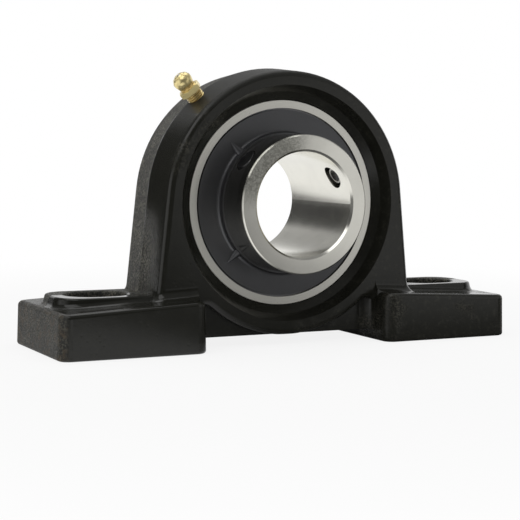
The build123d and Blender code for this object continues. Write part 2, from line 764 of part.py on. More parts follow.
def hexagon_bar():
    """Hexagon with a point to the front and both ends chamfered round."""
    corner = NIPPLE_HEX / sqrt(3)
    bar = extrude(RegularPolygon(corner, 6), amount=NIPPLE_HEX_HEIGHT)
    bar = Rot(0, 0, 30) * bar
    round_end = corner - 2 * NIPPLE_HEX_CHAMFER
    just_past = corner + 0.01
    envelope = upright_turned(
        (0, 0),
        (round_end, 0),
        (just_past, NIPPLE_HEX_CHAMFER),
        (just_past, NIPPLE_HEX_HEIGHT - NIPPLE_HEX_CHAMFER),
        (round_end, NIPPLE_HEX_HEIGHT),
        (0, NIPPLE_HEX_HEIGHT),
    )
    return Pos(0, 0, HEX_BOTTOM) * (bar & envelope)


def grease_nipple():
    shank = upright_turned(
        (0, NIPPLE_BOTTOM),
        (NIPPLE_THREAD_RADIUS - NIPPLE_THREAD_CHAMFER, NIPPLE_BOTTOM),
        (NIPPLE_THREAD_RADIUS, NIPPLE_BOTTOM + NIPPLE_THREAD_CHAMFER),
        (NIPPLE_THREAD_RADIUS, HEX_BOTTOM),
        (0, HEX_BOTTOM),
    )
    head = upright_turned(
        (0, HEX_TOP),
        (NIPPLE_NECK_RADIUS, HEX_TOP),
        (NIPPLE_NECK_RADIUS, NECK_TOP),
        (NIPPLE_HEAD_RADIUS, FLANK_TOP),
        (NIPPLE_HEAD_RADIUS, RIM_TOP),
        (NIPPLE_TIP_RADIUS, TIP_TOP),
        (NIPPLE_NOSE_ROOT_RADIUS, TIP_TOP),
        (NIPPLE_NOSE_RADIUS, NIPPLE_TOP),
        (0, NIPPLE_TOP),
    )
    crimp_top = NIPPLE_BOTTOM + NIPPLE_CRIMP_LENGTH
    bore = upright_turned(
        (0, NIPPLE_BOTTOM - PAST),
        (NIPPLE_CRIMP_RADIUS, NIPPLE_BOTTOM - PAST),
        (NIPPLE_CRIMP_RADIUS, crimp_top),
        (NIPPLE_BORE_RADIUS, crimp_top),
        (NIPPLE_BORE_RADIUS, NIPPLE_TOP - NIPPLE_LIP),
        (NIPPLE_ORIFICE_RADIUS, NIPPLE_TOP - NIPPLE_LIP),
        (NIPPLE_ORIFICE_RADIUS, NIPPLE_TOP + PAST),
        (0, NIPPLE_TOP + PAST),
    )
    return shank + hexagon_bar() + head - bore


def check_spring():
    reach = CHECK_BALL_RADIUS + SPRING_WIRE_RADIUS + CHECK_BALL_CLEARANCE
    top = CHECK_BALL_Z - sqrt(reach**2 - SPRING_MEAN_RADIUS**2)
    bottom = NIPPLE_BOTTOM + NIPPLE_CRIMP_LENGTH + SPRING_WIRE_RADIUS
    pitch = (top - bottom) / SPRING_TURNS
    path = Helix(pitch, top - bottom, SPRING_MEAN_RADIUS)
    across = Plane(origin=path @ 0, z_dir=path % 0)
    wire = sweep(across * Circle(SPRING_WIRE_RADIUS), path=path)
    return Pos(0, 0, bottom) * wire


write("grease_nipple", nipple_frame() * grease_nipple())
write("nipple_ball", nipple_frame() * Pos(0, 0, CHECK_BALL_Z) * Sphere(CHECK_BALL_RADIUS))
write("nipple_spring", nipple_frame() * check_spring())
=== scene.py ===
"""Pillow block bearing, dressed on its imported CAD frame."""

import json
from math import cos, pi, radians, sin, sqrt

import bmesh
import bpy
from bpy.props import FloatProperty, FloatVectorProperty, PointerProperty
from mathutils import Matrix, Vector

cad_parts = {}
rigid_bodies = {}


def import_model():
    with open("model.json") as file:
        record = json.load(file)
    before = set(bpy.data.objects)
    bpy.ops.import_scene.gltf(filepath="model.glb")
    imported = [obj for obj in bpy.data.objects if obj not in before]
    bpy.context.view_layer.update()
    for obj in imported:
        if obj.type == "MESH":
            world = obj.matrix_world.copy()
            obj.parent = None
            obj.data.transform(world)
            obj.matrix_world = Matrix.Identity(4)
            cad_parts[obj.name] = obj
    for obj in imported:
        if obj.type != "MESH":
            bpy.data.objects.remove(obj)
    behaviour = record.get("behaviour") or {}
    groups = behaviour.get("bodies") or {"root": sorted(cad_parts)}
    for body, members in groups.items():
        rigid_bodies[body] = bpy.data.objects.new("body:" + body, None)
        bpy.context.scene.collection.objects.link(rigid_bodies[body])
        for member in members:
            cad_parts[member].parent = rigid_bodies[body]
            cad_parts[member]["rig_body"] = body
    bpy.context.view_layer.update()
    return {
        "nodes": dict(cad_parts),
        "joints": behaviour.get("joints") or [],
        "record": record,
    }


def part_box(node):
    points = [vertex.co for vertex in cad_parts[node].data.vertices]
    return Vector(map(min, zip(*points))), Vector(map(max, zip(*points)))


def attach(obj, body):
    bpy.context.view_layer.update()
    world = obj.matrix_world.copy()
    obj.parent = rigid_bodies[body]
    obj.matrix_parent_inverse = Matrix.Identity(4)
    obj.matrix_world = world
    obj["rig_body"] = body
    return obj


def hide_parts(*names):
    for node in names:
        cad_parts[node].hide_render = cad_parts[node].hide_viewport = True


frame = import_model()

bl_info = {
    "name": "Pillow Block Bearing",
    "version": (1, 0, 0),
    "blender": (4, 5, 0),
    "location": "View3D > Sidebar > Bearing",
    "description": "Dresses the parts of a cast pillow block with an insert bearing",
    "category": "Add Mesh",
}

MM = 0.001


def mount(name):
    """Place and direction of one of the record's mounts."""
    found = next(m for m in frame["record"]["mounts"] if m["name"] == name)
    return Vector(found["pos_m"]), Vector(found["axis"])


def joint_axis(name):
    return Vector(next(j for j in frame["joints"] if j["name"] == name)["axis"])


def span(node, origin, axis):
    """How far a CAD node reaches along an axis, from an origin on that axis."""
    reaches = [(v.co - origin).dot(axis) for v in frame["nodes"][node].data.vertices]
    return min(reaches), max(reaches)


BEARING_AXIS = Vector((0, 1, 0))
BEARING_CENTRE = Vector((0, 0, mount("shaft_bore")[0].z))
NIPPLE_AXIS = mount("grease_nipple_head")[1]


def screw_seat(number):
    """Point of a set screw, and its direction outwards."""
    node = f"set_screw_{number}"
    outwards = -joint_axis(f"{node}_travel")
    low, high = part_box(node)
    centre = BEARING_CENTRE + BEARING_AXIS * (low.y + high.y) / 2
    return centre + outwards * span(node, centre, outwards)[0], outwards


# ---- Settings a user would change ----


class CastingSettings(bpy.types.PropertyGroup):
    """Finish of the painted casting."""

    paint: FloatVectorProperty(
        name="Paint",
        description="Colour of the smooth painted iron",
        subtype="COLOR",
        default=(0.011, 0.011, 0.0085),
        min=0,
        max=1,
    )
    sand: FloatVectorProperty(
        name="Sand skin",
        description="Colour of the rough, thinly painted patches",
        subtype="COLOR",
        default=(0.15, 0.142, 0.11),
        min=0,
        max=1,
    )
    grain: FloatProperty(
        name="Grain",
        description="Distance between the grains of the cast skin",
        unit="LENGTH",
        default=0.7 * MM,
        min=0.1 * MM,
        max=5 * MM,
    )
    relief: FloatProperty(
        name="Relief",
        description="Height of the grains on the roughest patches",
        unit="LENGTH",
        default=0.28 * MM,
        min=0,
        max=1 * MM,
    )


class SteelSettings(bpy.types.PropertyGroup):
    """Finish of the insert's rings and pressings."""

    ring: FloatVectorProperty(
        name="Ring steel",
        description="Colour of the ground ring faces",
        subtype="COLOR",
        default=(0.90, 0.885, 0.81),
        min=0,
        max=1,
    )
    flinger: FloatVectorProperty(
        name="Flinger coating",
        description="Colour of the dark coated flingers",
        subtype="COLOR",
        default=(0.112, 0.113, 0.117),
        min=0,
        max=1,
    )
    tool_pitch: FloatProperty(
        name="Grinding lines",
        description="Distance between the circular grinding lines",
        unit="LENGTH",
        default=0.12 * MM,
        min=0.02 * MM,
        max=1 * MM,
    )


class ScrewSettings(bpy.types.PropertyGroup):
    """Threads, socket and cup of the set screws."""

    pitch: FloatProperty(
        name="Pitch",
        description="Travel of a set screw in one turn",
        unit="LENGTH",
        default=1.0 * MM,
        min=0.5 * MM,
        max=2 * MM,
    )
    thread_depth: FloatProperty(
        name="Thread depth",
        description="Crest to root of the set screw's thread",
        unit="LENGTH",
        default=0.5 * MM,
        min=0.1 * MM,
        max=0.9 * MM,
    )
    oxide: FloatVectorProperty(
        name="Black oxide",
        description="Colour of the blackened screws",
        subtype="COLOR",
        default=(0.10, 0.10, 0.10),
        min=0,
        max=1,
    )


class NippleSettings(bpy.types.PropertyGroup):
    """Thread and finish of the grease nipple."""

    pitch: FloatProperty(
        name="Pitch",
        description="Distance between the nipple's thread crests",
        unit="LENGTH",
        default=0.75 * MM,
        min=0.5 * MM,
        max=1.5 * MM,
    )
    thread_depth: FloatProperty(
        name="Thread depth",
        description="Crest to root of the nipple's thread",
        unit="LENGTH",
        default=0.38 * MM,
        min=0.1 * MM,
        max=0.6 * MM,
    )
    brass: FloatVectorProperty(
        name="Brass",
        description="Colour of the passivated brass",
        subtype="COLOR",
        default=(0.98, 0.82, 0.40),
        min=0,
        max=1,
    )


class StageSettings(bpy.types.PropertyGroup):
    """Camera, lamps and backdrop."""

    lens: FloatProperty(
        name="Lens",
        description="Focal length of the camera, in millimetres",
        subtype="DISTANCE_CAMERA",
        default=98.91,
        min=20,
        max=300,
    )
    lamp_power: FloatProperty(
        name="Lamp power",
        description="Power of each square metre of the lamps",
        unit="POWER",
        default=4.5,
        min=0,
    )
    ambient: FloatProperty(
        name="Ambient",
        description="Strength of the even light from all round",
        default=0.45,
        min=0,
        max=1,
    )
    room: FloatProperty(
        name="Room",
        description="Brightness of the dim room in reflections",
        default=0.045,
        min=0,
        max=1,
    )
    ceiling: FloatProperty(
        name="Ceiling",
        description="Brightness of the ceiling in reflections",
        default=0.20,
        min=0,
        max=1,
    )
    board: FloatProperty(
        name="Board",
        description="Brightness of the reflector right of the camera",
        default=0.58,
        min=0,
        max=1,
    )
    panel: FloatProperty(
        name="Panel",
        description="Brightness of the reflector left of the object",
        default=0.9,
        min=0,
        max=1,
    )
    near_floor: FloatProperty(
        name="Near floor",
        description="Brightness of the floor close to the left foot",
        default=0.95,
        min=0,
        max=1,
    )


# ---- Materials ----


class Value:
    """A shader socket whose arithmetic adds Math nodes."""

    def __init__(self, shader, socket):
        self.shader = shader
        self.socket = socket

    def _math(self, operation, *values):
        sockets = dict(enumerate(values))
        return self.shader.node("ShaderNodeMath", {"operation": operation}, sockets)

    def __add__(self, other):
        return self._math("ADD", self, other)

    def __radd__(self, other):
        return self._math("ADD", other, self)

    def __sub__(self, other):
        return self._math("SUBTRACT", self, other)

    def __rsub__(self, other):
        return self._math("SUBTRACT", other, self)

    def __mul__(self, other):
        return self._math("MULTIPLY", self, other)

    def __rmul__(self, other):
        return self._math("MULTIPLY", other, self)

    def __truediv__(self, other):
        return self._math("DIVIDE", self, other)

    def __rtruediv__(self, other):
        return self._math("DIVIDE", other, self)

    def __pow__(self, other):
        return self._math("POWER", self, other)

    def __rpow__(self, other):
        return self._math("POWER", other, self)

    def __gt__(self, other):
        return self._math("GREATER_THAN", self, other)

    def __lt__(self, other):
        return self._math("LESS_THAN", self, other)

    def __abs__(self):
        return self._math("ABSOLUTE", self)

    def __neg__(self):
        return self._math("MULTIPLY", self, -1.0)

    def at_least(self, other):
        return self._math("MAXIMUM", self, other)

    def at_most(self, other):
        return self._math("MINIMUM", self, other)

    def root(self):
        return self._math("SQRT", self.at_least(0.0))

    def bearing_of(self, other):
        """Angle of a direction, from its two components."""
        return self._math("ARCTAN2", self, other)


class Shader:
    """The node tree of a new material, or the tree that is given, emptied."""

    def __init__(self, name=None, tree=None):
        if tree is None:
            self.material = bpy.data.materials.new(name)
            self.material.use_nodes = True
            tree = self.material.node_tree
        self.tree = tree
        self.tree.nodes.clear()

    def node(self, kind, settings=None, sockets=None, output=0):
        """Adds a node, sets it up and returns one of its outputs."""
        made = self.tree.nodes.new(kind)
        for key, value in (settings or {}).items():
            if key == "stops":
                self._set_stops(made.color_ramp, value)
            else:
                setattr(made, key, value)
        for key, value in (sockets or {}).items():
            if isinstance(value, Value):
                self.tree.links.new(value.socket, made.inputs[key])
            else:
                made.inputs[key].default_value = value
        return Value(self, made.outputs[output])

    def _set_stops(self, ramp, stops):
        while len(ramp.elements) < len(stops):
            ramp.elements.new(1.0)
        for element, (place, colour) in zip(ramp.elements, stops):
            element.position = place
            element.color = colour

    def place(self):
        """Object coordinates, in metres."""
        return self.node("ShaderNodeTexCoord", output="Object")

    def split(self, vector):
        return [
            self.node("ShaderNodeSeparateXYZ", sockets={0: vector}, output=axis)
            for axis in "XYZ"
        ]

    def join(self, x, y, z):
        return self.node("ShaderNodeCombineXYZ", sockets={0: x, 1: y, 2: z})

    def noise(self, place, spacing, detail=2.0, roughness=0.5, distortion=0.0):
        """Soft noise whose features are about a spacing apart."""
        sockets = {
            "Vector": place,
            "Scale": 1.0 / spacing,
            "Detail": detail,
            "Roughness": roughness,
            "Distortion": distortion,
        }
        return self.node("ShaderNodeTexNoise", sockets=sockets)

    def cells(self, place, spacing, feature="F1"):
        sockets = {"Vector": place, "Scale": 1.0 / spacing}
        return self.node("ShaderNodeTexVoronoi", {"feature": feature}, sockets)

    def rise(self, value, low, high):
        """0 below low, 1 above high, and smooth between."""
        settings = {"interpolation_type": "SMOOTHSTEP"}
        sockets = {"Value": value, "From Min": low, "From Max": high}
        return self.node("ShaderNodeMapRange", settings, sockets)

    def mix(self, factor, first, second):
        """Mixes two colours."""
        settings = {"data_type": "RGBA"}
        sockets = {0: factor, 6: first, 7: second}
        return self.node("ShaderNodeMix", settings, sockets, output=2)

    def bump(self, height, distance):
        sockets = {"Strength": 1.0, "Distance": distance, "Height": height}
        return self.node("ShaderNodeBump", sockets=sockets)

    def finish(self, **sockets):
        """Ends the tree in a Principled shader."""
        named = {key.replace("_", " ").title(): value for key, value in sockets.items()}
        if "Ior" in named:
            named["IOR"] = named.pop("Ior")
        surface = self.node("ShaderNodeBsdfPrincipled", sockets=named)
        self.node_end(surface)
        return self.material

    def node_end(self, surface):
        end = self.tree.nodes.new("ShaderNodeOutputMaterial")
        self.tree.links.new(surface.socket, end.inputs["Surface"])


def rgb(colour):
    return (*colour, 1.0)


def from_axis(shader, place):
    """Distance from the bearing axis, and the three coordinates."""
    x, y, z = shader.split(place)
    up = z - BEARING_CENTRE.z
    return (x * x + up * up).root(), x, y, z


def about_axis(shader, place, origin, axis):
    """Distance from any axis, and distance along it from an origin."""
    settings = {"operation": "SUBTRACT"}
    offset = shader.node("ShaderNodeVectorMath", settings, {0: place, 1: origin})
    settings = {"operation": "DOT_PRODUCT"}
    along = shader.node("ShaderNodeVectorMath", settings, {0: offset, 1: axis}, output=1)
    square = shader.node("ShaderNodeVectorMath", settings, {0: offset, 1: offset}, output=1)
    return (square - along * along).root(), along


RUST = (0.070, 0.050, 0.030, 1.0)
SPECK_COLOUR = (0.16, 0.14, 0.11, 1.0)
PAINTED_SHADE_STEEL = (0.20, 0.20, 0.17, 1.0)
BARE_STEEL = (0.50, 0.49, 0.46, 1.0)


def casting_material(settings):
    """Dark paint over sand-cast iron, smooth in places and gritty in others."""
    s = Shader("painted_casting")
    place = s.place()
    radius, x, y, z = from_axis(s, place)
    drift = s.noise(place, 26 * MM, detail=3.0)
    grit = s.noise(place, settings.grain, detail=4.0, roughness=0.7)
    lumps = s.noise(place, 5 * MM, detail=2.0)
    pits = s.cells(place, 1.7 * MM)
    mottled = s.noise(place, 2.4 * MM, detail=4.0, roughness=0.7)

    # The rear half of the mould, past the parting line, and the ends are rougher
    parting = y + (lumps - 0.5) * 1.2 * MM
    rear_half = s.rise(parting, 0.2 * MM, 0.9 * MM) * s.rise(radius, 42.0 * MM, 43.0 * MM)
    rear_half = rear_half * s.rise(z, 12 * MM, 18 * MM)
    ends = s.rise(abs(x), 80.5 * MM, 82.5 * MM)
    foot_sides = s.rise(z, 19 * MM, 15 * MM) * s.rise(y, 8 * MM, 14 * MM) * 0.6
    lower_tower = s.rise(abs(x), 39 * MM, 43 * MM) * s.rise(abs(x), 54 * MM, 50 * MM)
    lower_tower = lower_tower * s.rise(z, 50 * MM, 30 * MM)
    lower_tower = lower_tower * s.rise(y, -14 * MM, 0.0) * s.rise(z, 15 * MM, 20 * MM)
    rough = (rear_half + ends + lower_tower).at_most(1.0) * s.rise(drift, 0.26, 0.42)
    rough = rough.at_least(foot_sides * s.rise(drift, 0.40, 0.60))
    rough = rough.at_least(s.rise(drift, 0.62, 0.74) * 0.35)

    tint = s.mix(lumps, rgb(settings.paint), rgb([c * 1.5 for c in settings.paint]))
    # Pale sand skin on the rough patches. On the rear half of the crown the paleness is
    # partly painted light, standing in for the backlight grazing that half.
    sand_and_painted_light = rough * s.rise(grit, 0.47, 0.57) * (0.5 + s.rise(lumps, 0.40, 0.60) * 0.5)
    sand_and_painted_light = sand_and_painted_light * (1.0 - ends * 0.35)
    colour = s.mix(sand_and_painted_light, tint, rgb(settings.sand))
    # Dust speckles, more of them towards the right; that rise to the right is partly painted
    # light, standing in for the brighter right of the front.
    dust_and_painted_light = s.rise(mottled, 0.50, 0.75) * s.rise(x, -20 * MM, 40 * MM)
    colour = s.mix(dust_and_painted_light * 0.10, colour, rgb(settings.sand))
    rust = ends * s.rise(mottled, 0.50, 0.62)
    colour = s.mix(rust * 0.7, colour, RUST)

    # The crown is duller than the sides
    crown = s.rise(radius, 42.0 * MM, 43.0 * MM) * s.rise(z, 72 * MM, 84 * MM)
    pit = s.rise(pits, 0.34, 0.12) * s.rise(lumps, 0.48, 0.62)
    grains = s.rise(grit, 0.36, 0.64)
    height = grains * (0.012 + rough * 0.55) - pit * (0.05 + rough * 0.5) + lumps * 0.07
    return s.finish(
        base_color=colour,
        ior=1.42,
        roughness=0.10 + rough.at_least(crown) * 0.38 + mottled * 0.10,
        normal=s.bump(height, settings.relief),
    )


PAINTED_SHADE_DEPTH = 4.3 * MM  # how far the painted shade runs back from the inner ring's face


def ground_steel(name, settings, roughness, lines=0.5, dish=0.0, painted_shade=0.0, rim=1.0):
    """Ground steel with fine circular lines about the bearing axis.

    dish is the slope of the face, whose rim stands back from its middle. The argument
    after dish sets how much the upper left of the face is painted darker: painted shade
    for a dark reflection. Beyond the radius rim the steel is painted dark, as painted shade.
    """
    s = Shader(name)
    place = s.place()
    radius, x, y, z = from_axis(s, place)
    across = s.join(radius, y, 0.0)
    grooves = s.noise(across, settings.tool_pitch, detail=2.0, roughness=0.7)
    haze = s.noise(place, 7 * MM, detail=4.0, roughness=0.6)
    streaks = s.noise(place, 0.9 * MM, detail=4.0, roughness=0.7, distortion=1.0)
    speck = s.rise(s.cells(place, 1.6 * MM), 0.10, 0.04)
    shade = s.mix(haze, rgb([c * 0.84 for c in settings.ring]), rgb(settings.ring))
    shade = s.mix(speck * 0.35, shade, SPECK_COLOUR)
    # Painted shade: past the rim radius, on the inner ring's outer face, the steel is
    # painted dark, standing in for that face lying unlit.
    shaded_outer_face = s.rise(radius, rim - 0.25 * MM, rim - 0.05 * MM)
    shade = s.mix(shaded_outer_face * 0.8, shade, rgb([c * 0.3 for c in settings.ring]))
    # Painted shade: the upper left of the face, near its front, is painted darker and
    # streaky, standing in for a dark reflection.
    upper_left = (z - BEARING_CENTRE.z - x) / radius.at_least(1 * MM)
    shade_from = -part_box("inner_ring")[0].y - PAINTED_SHADE_DEPTH
    front = s.rise(-y, shade_from - 0.2 * MM, shade_from + 0.1 * MM)
    shaded_sector = s.rise(upper_left, 0.85, 1.30) * front
    mottled = shaded_sector * (0.6 + s.rise(streaks, 0.62, 0.40) * 0.4) * painted_shade
    shade = s.mix(mottled, shade, PAINTED_SHADE_STEEL)
    height = grooves * 0.004 * lines + streaks * shaded_sector * 0.015 * painted_shade
    return s.finish(
        base_color=shade,
        metallic=1.0,
        roughness=roughness + haze * 0.08 + grooves * 0.06,
        normal=s.bump(height - radius * (dish / MM), 1 * MM),
    )


def plain_steel(name, colour, roughness, spacing=1.2 * MM, relief=0.004 * MM):
    """Drawn or pressed steel with a faint grain."""
    s = Shader(name)
    place = s.place()
    grain = s.noise(place, spacing, detail=3.0)
    haze = s.noise(place, 9 * MM, detail=2.0)
    shade = s.mix(haze, rgb([c * 0.8 for c in colour]), rgb(colour))
    return s.finish(
        base_color=shade,
        metallic=1.0,
        roughness=roughness + grain * 0.12,
        normal=s.bump(grain, relief),
    )


def flinger_material(settings):
    """Dark coated pressing with a soft satin sheen."""
    s = Shader("coated_flinger")
    place = s.place()
    radius, _, y, _ = from_axis(s, place)
    lines = s.noise(s.join(radius, y, 0.0), 0.4 * MM, detail=2.0)
    haze = s.noise(place, 12 * MM, detail=3.0)
    scuff = s.rise(s.noise(place, 1.4 * MM, detail=4.0, roughness=0.7), 0.62, 0.75)
    shade = s.mix(haze, rgb(settings.flinger), rgb([c * 1.35 for c in settings.flinger]))
    shade = s.mix(scuff * 0.35, shade, (0.16, 0.16, 0.16, 1.0))
    return s.finish(
        base_color=shade,
        metallic=0.85,
        roughness=0.36 + haze * 0.10 + scuff * 0.1,
        normal=s.bump(lines, 0.006 * MM),
    )


def rubber_material():
    s = Shader("seal_rubber")
    place = s.place()
    grain = s.noise(place, 0.5 * MM, detail=3.0)
    bloom = s.noise(place, 6 * MM, detail=2.0)
    shade = s.mix(bloom, (0.012, 0.012, 0.012, 1.0), (0.024, 0.023, 0.022, 1.0))
    return s.finish(
        base_color=shade,
        roughness=0.58 + grain * 0.15,
        normal=s.bump(grain, 0.01 * MM),
    )


def brass_material(settings, origin, axis):
    """Bright brass, painted darker and browner in its neck and over its thread as painted
    shade.
    """
    s = Shader("nipple_brass")
    place = s.place()
    radius, along = about_axis(s, place, origin, axis)
    film = s.noise(place, 2.2 * MM, detail=3.0)
    turned = s.noise(s.join(radius, along, 0.0), 0.10 * MM, detail=2.0)
    # Painted shade: the neck and the thread, inside the head's radius, are painted dark
    # brown.
    neck = s.rise(along, 4.0 * MM, 4.6 * MM) * s.rise(along, 6.4 * MM, 5.4 * MM)
    thread = s.rise(along, 2.3 * MM, 2.0 * MM)
    shaded = s.rise(radius, 3.0 * MM, 2.7 * MM) * (neck + thread).at_most(1.0)
    dark = rgb([settings.brass[0] * 0.62, settings.brass[1] * 0.5, settings.brass[2] * 0.36])
    shade = s.mix(film, rgb([c * 0.86 for c in settings.brass]), rgb(settings.brass))
    shade = s.mix(shaded * 0.75, shade, dark)
    return s.finish(
        base_color=shade,
        metallic=0.8,
        roughness=0.24 + film * 0.10,
        normal=s.bump(turned, 0.004 * MM),
    )


def screw_material(number, settings, origin, axis):
    """Black oxide, worn bright on the rim of the cup."""
    s = Shader(f"black_oxide_{number}")
    place = s.place()
    radius, along = about_axis(s, place, origin, axis)
    grain = s.noise(place, 0.6 * MM, detail=3.0)
    rim = s.rise(radius, 2.05 * MM, 2.25 * MM) * s.rise(radius, 3.0 * MM, 2.8 * MM)
    bright = rim * s.rise(along, 0.35 * MM, 0.1 * MM) * (0.6 + grain * 0.6)
    shade = s.mix(grain, rgb([c * 0.7 for c in settings.oxide]), rgb(settings.oxide))
    shade = s.mix(bright.at_most(1.0), shade, BARE_STEEL)
    return s.finish(
        base_color=shade,
        metallic=1.0,
        roughness=0.34 + grain * 0.14 - bright * 0.12,
        normal=s.bump(grain, 0.006 * MM),
    )


# ---- Shapes ----


def plain_axes(axis):
    """Two directions square to an axis, the first towards the front where it can be."""
    front = Vector((0, -1, 0))
    side = front if abs(axis.dot(front)) < 0.9 else Vector((1, 0, 0))
    side = (side - axis * side.dot(axis)).normalized()
    return side, axis.cross(side)


def wire(bm, outline, origin, axis, closed=True):
    """Wires an outline of (radius, along) points, beside an axis."""
    side = plain_axes(axis)[0]
    points = [bm.verts.new(origin + side * r + axis * a) for r, a in outline]
    pairs = list(zip(points, points[1:]))
    if closed:
        pairs.append((points[-1], points[0]))
    return points + [bm.edges.new(pair) for pair in pairs]


def lathe(bm, outline, origin, axis, closed=True, steps=96):
    """Spins an outline once round an axis."""
    loop = wire(bm, outline, origin, axis, closed)
    bmesh.ops.spin(
        bm, geom=loop, cent=origin, axis=axis, angle=2 * pi, steps=steps, use_merge=True
    )
    bmesh.ops.remove_doubles(bm, verts=bm.verts, dist=1e-7)


def thread_ridge(bm, root, crest, pitch, start, end, origin, axis):
    """Winds a blunt ridge along an axis, and closes its two ends."""
    steps_per_turn = 40
    foot = pitch * 0.46
    tip = pitch * 0.10
    section = [(root, start - foot), (crest, start - tip)]
    section += [(crest, start + tip), (root, start + foot)]
    before = set(bm.edges)
    turns = (end - start) / pitch
    steps = int(steps_per_turn * turns)
    bmesh.ops.spin(
        bm,
        geom=wire(bm, section, origin, axis),
        cent=origin,
        axis=axis,
        dvec=axis * ((end - start) / steps),
        angle=2 * pi * turns,
        steps=steps,
    )
    open_edges = [e for e in bm.edges if e not in before and e.is_boundary]
    bmesh.ops.holes_fill(bm, edges=open_edges, sides=4)


def cut_flats(bm, count, apothem, origin, axis, turn=0.0):
    """Mills flats on a turned bar, and closes them."""
    front, right = plain_axes(axis)
    for number in range(count):
        angle = turn + 2 * pi * number / count
        outwards = front * cos(angle) + right * sin(angle)
        bmesh.ops.bisect_plane(
            bm,
            geom=bm.verts[:] + bm.edges[:] + bm.faces[:],
            dist=1e-8,
            plane_co=origin + outwards * apothem,
            plane_no=outwards,
            clear_outer=True,
        )
        open_edges = [e for e in bm.edges if e.is_boundary]
        bmesh.ops.holes_fill(bm, edges=open_edges, sides=0)


def hex_socket(bm, across_flats, depth, centre, axis):
    """Sinks a hexagonal socket into the open top of a turned blank."""
    rim = [e for e in bm.edges if e.is_boundary]
    front, right = plain_axes(axis)
    to_axis = Matrix((front, right, axis)).transposed().to_4x4()
    to_axis.translation = centre
    made = bmesh.ops.create_circle(
        bm, segments=6, radius=across_flats / sqrt(3), matrix=to_axis
    )
    sides = list({e for v in made["verts"] for e in v.link_edges})
    before = set(bm.edges) - set(sides)
    bmesh.ops.subdivide_edges(bm, edges=sides, cuts=len(rim) // 6 - 1)
    hexagon = [e for e in bm.edges if e not in before]
    bmesh.ops.bridge_loops(bm, edges=rim + hexagon)
    walls = bmesh.ops.extrude_edge_only(bm, edges=hexagon)["geom"]
    low = [item for item in walls if isinstance(item, bmesh.types.BMVert)]
    bmesh.ops.translate(bm, verts=low, vec=-axis * depth)
    open_edges = [e for e in bm.edges if e.is_boundary]
    floor = bmesh.ops.holes_fill(bm, edges=open_edges, sides=0)["faces"]
    bmesh.ops.poke(bm, faces=floor, offset=across_flats * 0.12)


def piece(name, bm, material, node):
    """Turns a finished bmesh into a piece that stands for a CAD node."""
    bmesh.ops.recalc_face_normals(bm, faces=bm.faces)
    mesh = bpy.data.meshes.new(name)
    bm.to_mesh(mesh)
    bm.free()
    mesh.materials.append(material)
    mesh.polygons.foreach_set("use_smooth", [True] * len(mesh.polygons))
    mesh.set_sharp_from_angle(angle=radians(32))
    made = bpy.data.objects.new(name, mesh)
    bpy.context.scene.collection.objects.link(made)
    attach(made, frame["nodes"][node]["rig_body"])
    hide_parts(node)
    return made


def coat(node, material):
    """Gives a CAD node its finish."""
    slots = frame["nodes"][node].material_slots
    if not slots:
        frame["nodes"][node].data.materials.append(material)
    for material_slot in frame["nodes"][node].material_slots:
        material_slot.material = material


# ---- Operators, one for each piece or group of like pieces ----


class BEARING_OT_casting(bpy.types.Operator):
    """Paint the cast housing"""

    bl_idname = "bearing.casting"
    bl_label = "Cast housing"

    def execute(self, context):
        coat("housing", casting_material(context.scene.bearing_casting))
        return {"FINISHED"}


class BEARING_OT_rings(bpy.types.Operator):
    """Finish the outer and the inner ring"""

    bl_idname = "bearing.rings"
    bl_label = "Rings"

    def execute(self, context):
        steel = context.scene.bearing_steel
        coat("outer_ring", ground_steel("outer_ring_steel", steel, 0.24, lines=0.9))
        low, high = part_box("inner_ring")
        inner = ground_steel(
            "inner_ring_steel", steel, 0.12, dish=0.05, painted_shade=0.8, rim=(high.z - low.z) / 2
        )
        coat("inner_ring", inner)
        return {"FINISHED"}


class BEARING_OT_rolling(bpy.types.Operator):
    """Finish the balls, the cage and its rivets"""

    bl_idname = "bearing.rolling"
    bl_label = "Balls and cage"

    def execute(self, context):
        ball_steel = plain_steel("ball_steel", (0.70, 0.70, 0.71), 0.06, relief=0.0005 * MM)
        balls = [name for name in frame["nodes"] if name.startswith("ball_")]
        for ball in balls:
            coat(ball, ball_steel)
        cage_steel = plain_steel("cage_steel", (0.46, 0.45, 0.43), 0.32)
        coat("cage_front", cage_steel)
        coat("cage_rear", cage_steel)
        coat("cage_rivets", plain_steel("rivet_steel", (0.40, 0.39, 0.38), 0.28))
        return {"FINISHED"}


class BEARING_OT_seals(bpy.types.Operator):
    """Finish the shields and their rubber lips"""

    bl_idname = "bearing.seals"
    bl_label = "Shields and seals"

    def execute(self, context):
        shield_steel = plain_steel("shield_steel", (0.30, 0.30, 0.31), 0.34)
        rubber = rubber_material()
        for side in ("front", "rear"):
            coat(f"shield_{side}", shield_steel)
            coat(f"seal_lip_{side}", rubber)
        return {"FINISHED"}


class BEARING_OT_flingers(bpy.types.Operator):
    """Finish the two flingers"""

    bl_idname = "bearing.flingers"
    bl_label = "Flingers"

    def execute(self, context):
        coating = flinger_material(context.scene.bearing_steel)
        for side in ("front", "rear"):
            coat(f"flinger_{side}", coating)
        return {"FINISHED"}


class BEARING_OT_set_screws(bpy.types.Operator):
    """Turn, thread and blacken the two set screws"""

    bl_idname = "bearing.set_screws"
    bl_label = "Set screws"

    def execute(self, context):
        settings = context.scene.bearing_screw
        for number in (1, 2):
            origin, axis = screw_seat(number)
            bm = bmesh.new()
            screw_blank(bm, settings, origin, axis)
            material = screw_material(number, settings, origin, axis)
            node = f"set_screw_{number}"
            piece(f"threaded_{node}", bm, material, node)
        return {"FINISHED"}


SCREW_CREST = 4.0 * MM
SCREW_LENGTH = 5.0 * MM
SCREW_HEX = 4.0 * MM  # across its flats
SCREW_HEX_DEPTH = 2.5 * MM


